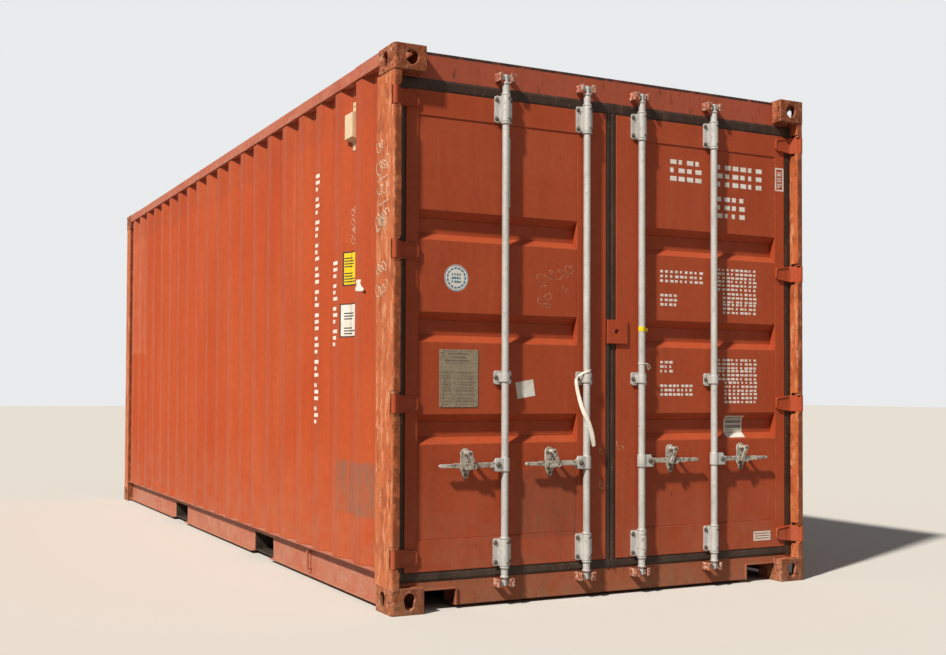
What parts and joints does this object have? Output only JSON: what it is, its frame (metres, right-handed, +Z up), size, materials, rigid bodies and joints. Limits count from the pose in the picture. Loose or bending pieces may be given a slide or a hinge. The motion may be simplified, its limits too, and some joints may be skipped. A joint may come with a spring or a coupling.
{
  "type": "shipping container",
  "caption": "Twenty-foot dry cargo container of corrugated steel with double doors, upright lock bars, corner fittings, fork pockets and a plywood floor.",
  "frame": {"origin": "on the ground, under the middle of the container", "axes": "+X along the container towards the doors, +Y across it, to the right of someone who faces the doors, +Z up"},
  "size_m": [6.058, 2.438, 2.591],
  "materials": {
    "container_paint": "faded orange-red paint with light rust",
    "door_paint": "weathered brown-red paint",
    "weathered_paint": "worn paint with surface rust",
    "zinc_steel": "dull zinc coat with rust marks",
    "seal_rubber": "dull black",
    "floor_wood": "worn plywood",
    "cream_plastic": "faded cream",
    "plate_metal": "dull grey"
  },
  "bodies": {
    "frame": {"corner_fittings_top": "weathered_paint", "corner_fittings_bottom": "weathered_paint", "bottom_side_rail_left": "container_paint", "bottom_side_rail_right": "container_paint", "top_side_rail_left": "container_paint", "top_side_rail_right": "container_paint", "door_post_left": "weathered_paint", "door_post_right": "weathered_paint", "front_post_left": "container_paint", "front_post_right": "container_paint", "door_sill": "door_paint", "door_header": "door_paint", "front_sill": "container_paint", "front_top_rail": "container_paint", "side_wall_left": "container_paint", "side_wall_right": "container_paint", "front_wall": "container_paint", "roof_panel": "container_paint", "roof_corner_plates": "container_paint", "floor_boards": "floor_wood", "cross_members": "container_paint", "fork_pockets": "container_paint", "cam_keepers": "weathered_paint", "hinge_lugs": "weathered_paint", "hinge_pins": "weathered_paint", "ventilators": "cream_plastic", "tie_back_hooks": "container_paint"},
    "door_left": {"door_frame_left": "door_paint", "door_panel_left": "door_paint", "door_gasket_left": "seal_rubber", "hinge_blades_left": "door_paint", "bar_brackets_left": "zinc_steel", "handle_retainers_left": "zinc_steel", "data_plate": "plate_metal"},
    "door_right": {"door_frame_right": "door_paint", "door_panel_right": "door_paint", "door_gasket_right": "seal_rubber", "hinge_blades_right": "door_paint", "bar_brackets_right": "zinc_steel", "handle_retainers_right": "zinc_steel", "lock_plate": "door_paint"},
    "lock_bar_1": {"lock_bar_1": "zinc_steel"},
    "lock_handle_1": {"lock_handle_1": "zinc_steel"},
    "handle_catch_1": {"handle_catch_1": "weathered_paint"},
    "lock_bar_2": {"lock_bar_2": "zinc_steel"},
    "lock_handle_2": {"lock_handle_2": "zinc_steel"},
    "handle_catch_2": {"handle_catch_2": "weathered_paint"},
    "lock_bar_3": {"lock_bar_3": "zinc_steel"},
    "lock_handle_3": {"lock_handle_3": "zinc_steel"},
    "handle_catch_3": {"handle_catch_3": "weathered_paint"},
    "lock_bar_4": {"lock_bar_4": "zinc_steel"},
    "lock_handle_4": {"lock_handle_4": "zinc_steel"},
    "handle_catch_4": {"handle_catch_4": "weathered_paint"}
  },
  "joints": [
    {"name": "door_left_hinge", "type": "hinge", "parent": "frame", "child": "door_left", "pos_m": [3.0155, -1.2055, 1.3025], "axis": [0, 0, -1], "range_deg": [0, 265]},
    {"name": "door_right_hinge", "type": "hinge", "parent": "frame", "child": "door_right", "pos_m": [3.0155, 1.2055, 1.3025], "axis": [0, 0, 1], "range_deg": [0, 265]},
    {"name": "lock_bar_1_turn", "type": "hinge", "parent": "door_left", "child": "lock_bar_1", "pos_m": [3.002, -0.625, 1.3], "axis": [0, 0, -1], "range_deg": [-90, 0]},
    {"name": "lock_handle_1_lift", "type": "hinge", "parent": "lock_bar_1", "child": "lock_handle_1", "pos_m": [3.0075, -0.667, 0.665], "axis": [1, 0, 0], "range_deg": [-8, 0]},
    {"name": "handle_catch_1_swing", "type": "hinge", "parent": "door_left", "child": "handle_catch_1", "pos_m": [3.0235, -0.822, 0.722], "axis": [-1, 0, 0], "range_deg": [-120, 0]},
    {"name": "lock_bar_2_turn", "type": "hinge", "parent": "door_left", "child": "lock_bar_2", "pos_m": [3.002, -0.165, 1.3], "axis": [0, 0, -1], "range_deg": [-90, 0]},
    {"name": "lock_handle_2_lift", "type": "hinge", "parent": "lock_bar_2", "child": "lock_handle_2", "pos_m": [3.0075, -0.207, 0.665], "axis": [1, 0, 0], "range_deg": [-8, 0]},
    {"name": "handle_catch_2_swing", "type": "hinge", "parent": "door_left", "child": "handle_catch_2", "pos_m": [3.0235, -0.362, 0.722], "axis": [-1, 0, 0], "range_deg": [-120, 0]},
    {"name": "lock_bar_3_turn", "type": "hinge", "parent": "door_right", "child": "lock_bar_3", "pos_m": [3.002, 0.165, 1.3], "axis": [0, 0, 1], "range_deg": [-90, 0]},
    {"name": "lock_handle_3_lift", "type": "hinge", "parent": "lock_bar_3", "child": "lock_handle_3", "pos_m": [3.0075, 0.207, 0.665], "axis": [-1, 0, 0], "range_deg": [-8, 0]},
    {"name": "handle_catch_3_swing", "type": "hinge", "parent": "door_right", "child": "handle_catch_3", "pos_m": [3.0235, 0.362, 0.722], "axis": [1, 0, 0], "range_deg": [-120, 0]},
    {"name": "lock_bar_4_turn", "type": "hinge", "parent": "door_right", "child": "lock_bar_4", "pos_m": [3.002, 0.625, 1.3], "axis": [0, 0, 1], "range_deg": [-90, 0]},
    {"name": "lock_handle_4_lift", "type": "hinge", "parent": "lock_bar_4", "child": "lock_handle_4", "pos_m": [3.0075, 0.667, 0.665], "axis": [-1, 0, 0], "range_deg": [-8, 0]},
    {"name": "handle_catch_4_swing", "type": "hinge", "parent": "door_right", "child": "handle_catch_4", "pos_m": [3.0235, 0.822, 0.722], "axis": [1, 0, 0], "range_deg": [-120, 0]}
  ]
}
